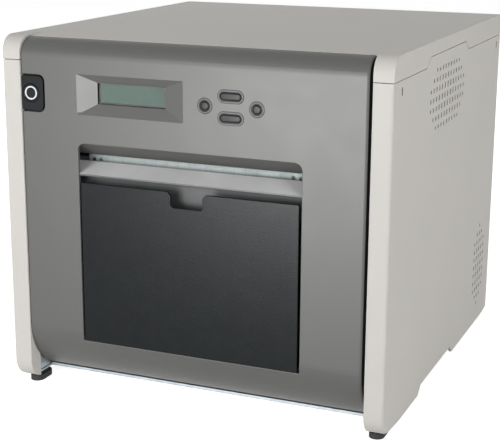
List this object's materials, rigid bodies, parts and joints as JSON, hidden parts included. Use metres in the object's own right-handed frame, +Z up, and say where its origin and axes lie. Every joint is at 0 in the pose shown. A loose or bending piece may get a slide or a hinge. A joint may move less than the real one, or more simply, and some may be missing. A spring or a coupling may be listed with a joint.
{
  "type": "compact photo printer",
  "caption": "Compact roll-fed dye photo printer: light side panels and top cover, grey front door with display, keys and print outlet, black scrap bin, working rollers, cutter, head and fan.",
  "frame": {"origin": "under the middle of the casing, on the surface the feet stand on", "axes": "+Z up, +X to the right as seen from the front, front faces -Y"},
  "size_m": [0.322, 0.348, 0.294],
  "materials": {
    "light_shell": "warm light grey, fine texture, satin",
    "door_grey": "mid grey, finely textured, satin",
    "black_plastic": "black, moulded, satin",
    "bin_black": "black, fine spark-eroded grain, satin",
    "key_grey": "mid grey, moulded, satin",
    "ring_white": "white, clear moulded ring, glossy",
    "foot_rubber": "black, matt",
    "sheet_steel": "galvanised sheet, semi-matt",
    "strip_steel": "brushed stainless strip, bright",
    "bright_steel": "ground steel, semi-bright",
    "dark_steel": "black coated, semi-matt",
    "motor_case": "dark lacquered can, satin",
    "bush_brass": "machined, semi-bright",
    "magnet_black": "black holder, matt",
    "board_green": "solder mask over laminate, satin",
    "display_glass": "transparent, grey green, glossy",
    "display_panel": "unlit liquid crystal panel, grey green",
    "head_aluminium": "extruded, finned, satin",
    "gear_white": "natural acetal, satin",
    "roller_rubber": "ground rubber sleeve, matt",
    "spool_grey": "grey, moulded, satin",
    "paper_white": "coated photo paper edge, matt",
    "ribbon_film": "dyed film, wound, glossy"
  },
  "bodies": {
    "chassis": {"base_pan": "sheet_steel", "side_frame_left": "sheet_steel", "side_frame_right": "sheet_steel", "side_panel_left": "light_shell", "side_panel_right": "light_shell", "top_cover": "light_shell", "rear_cover": "light_shell", "feet": "foot_rubber", "cover_screws": "bright_steel", "exit_beam": "sheet_steel", "exit_strip": "strip_steel", "strip_screws": "dark_steel", "cutter_bed": "bright_steel", "cutter_rail": "bright_steel", "paper_guide": "sheet_steel", "head_shaft": "bright_steel", "roller_bushes": "bush_brass", "spool_cradles": "sheet_steel", "bin_shelf": "sheet_steel", "door_hinge_pins": "bright_steel", "strike_plates": "bright_steel", "drive_motor": "motor_case", "idler_pin": "bright_steel", "power_supply": "sheet_steel", "main_board": "board_green", "usb_socket": "bright_steel", "mains_inlet": "black_plastic", "fan_housing": "black_plastic"},
    "door": {"front_door": "door_grey", "door_magnets": "magnet_black", "power_tab": "black_plastic", "power_switch": "board_green", "display_window": "display_glass", "display_module": "display_panel", "key_board": "board_green"},
    "bin": {"scrap_bin": "bin_black"},
    "power_key_body": {"power_key": "black_plastic", "power_ring": "ring_white"},
    "key_left_body": {"key_left": "key_grey"},
    "key_right_body": {"key_right": "key_grey"},
    "key_up_body": {"key_up": "key_grey"},
    "key_down_body": {"key_down": "key_grey"},
    "print_head": {"head_arm": "sheet_steel", "thermal_head": "head_aluminium"},
    "drive_roller_body": {"drive_roller": "bright_steel", "drive_gear": "gear_white"},
    "platen_roller_body": {"platen_roller": "roller_rubber", "platen_gear": "gear_white"},
    "idler_body": {"idler_gear": "gear_white"},
    "pinion_body": {"motor_pinion": "bush_brass"},
    "pinch_body": {"pinch_roller": "bright_steel"},
    "paper": {"paper_spool": "spool_grey", "paper_roll": "paper_white"},
    "ribbon_supply_body": {"ribbon_supply": "gear_white", "supply_film": "ribbon_film"},
    "ribbon_takeup_body": {"ribbon_takeup": "gear_white", "takeup_film": "ribbon_film"},
    "carriage": {"cutter_carriage": "black_plastic"},
    "wheel": {"cutter_wheel": "bright_steel"},
    "fan": {"fan_rotor": "black_plastic"}
  },
  "joints": [
    {"name": "door_tilt", "type": "hinge", "parent": "chassis", "child": "door", "pos_m": [0, -0.15, 0.027], "axis": [1, 0, 0], "range_deg": [0, 90]},
    {"name": "bin_slide", "type": "slide", "parent": "chassis", "child": "bin", "axis": [0, -1, 0], "range_m": [0, 0.055]},
    {"name": "power_press", "type": "slide", "parent": "door", "child": "power_key_body", "axis": [0, 1, 0], "range_m": [0, 0.0008], "stiffness_N_per_m": 400},
    {"name": "key_left_press", "type": "slide", "parent": "door", "child": "key_left_body", "axis": [0, 1, 0], "range_m": [0, 0.0006], "stiffness_N_per_m": 400},
    {"name": "key_right_press", "type": "slide", "parent": "door", "child": "key_right_body", "axis": [0, 1, 0], "range_m": [0, 0.0006], "stiffness_N_per_m": 400},
    {"name": "key_up_press", "type": "slide", "parent": "door", "child": "key_up_body", "axis": [0, 1, 0], "range_m": [0, 0.0006], "stiffness_N_per_m": 400},
    {"name": "key_down_press", "type": "slide", "parent": "door", "child": "key_down_body", "axis": [0, 1, 0], "range_m": [0, 0.0006], "stiffness_N_per_m": 400},
    {"name": "head_lift", "type": "hinge", "parent": "chassis", "child": "print_head", "pos_m": [0, -0.02, 0.2238], "axis": [-1, 0, 0], "range_deg": [0, 6]},
    {"name": "drive_roller_spin", "type": "hinge", "parent": "chassis", "child": "drive_roller_body", "pos_m": [0, -0.06, 0.1915], "axis": [1, 0, 0], "continuous": true},
    {"name": "platen_roller_spin", "type": "hinge", "parent": "chassis", "child": "platen_roller_body", "pos_m": [0, -0.1, 0.1915], "axis": [1, 0, 0], "continuous": true},
    {"name": "idler_spin", "type": "hinge", "parent": "chassis", "child": "idler_body", "pos_m": [-0.152, -0.08, 0.1915], "axis": [1, 0, 0], "continuous": true},
    {"name": "pinion_spin", "type": "hinge", "parent": "chassis", "child": "pinion_body", "pos_m": [-0.152, -0.08, 0.1755], "axis": [1, 0, 0], "continuous": true},
    {"name": "pinch_roller_spin", "type": "hinge", "parent": "chassis", "child": "pinch_body", "pos_m": [0, -0.06, 0.2068], "axis": [1, 0, 0], "continuous": true},
    {"name": "paper_spool_spin", "type": "hinge", "parent": "chassis", "child": "paper", "pos_m": [0, -0.02, 0.084], "axis": [1, 0, 0], "continuous": true},
    {"name": "ribbon_supply_spin", "type": "hinge", "parent": "chassis", "child": "ribbon_supply_body", "pos_m": [0, -0.06, 0.256], "axis": [1, 0, 0], "continuous": true},
    {"name": "ribbon_takeup_spin", "type": "hinge", "parent": "chassis", "child": "ribbon_takeup_body", "pos_m": [0, -0.132, 0.25], "axis": [1, 0, 0], "continuous": true},
    {"name": "cutter_travel", "type": "slide", "parent": "chassis", "child": "carriage", "axis": [-1, 0, 0], "range_m": [0, 0.244]},
    {"name": "cutter_wheel_spin", "type": "hinge", "parent": "carriage", "child": "wheel", "pos_m": [0.122, -0.1388, 0.205], "axis": [0, 1, 0], "continuous": true},
    {"name": "fan_spin", "type": "hinge", "parent": "chassis", "child": "fan", "pos_m": [0.045, 0.157, 0.208], "axis": [0, 1, 0], "continuous": true}
  ],
  "couplings": [
    {"joint": "platen_roller_spin", "follows": "drive_roller_spin", "ratio": 1},
    {"joint": "idler_spin", "follows": "drive_roller_spin", "ratio": -1.5},
    {"joint": "pinion_spin", "follows": "drive_roller_spin", "ratio": 1.5},
    {"joint": "pinch_roller_spin", "follows": "drive_roller_spin", "ratio": -1.5}
  ]
}
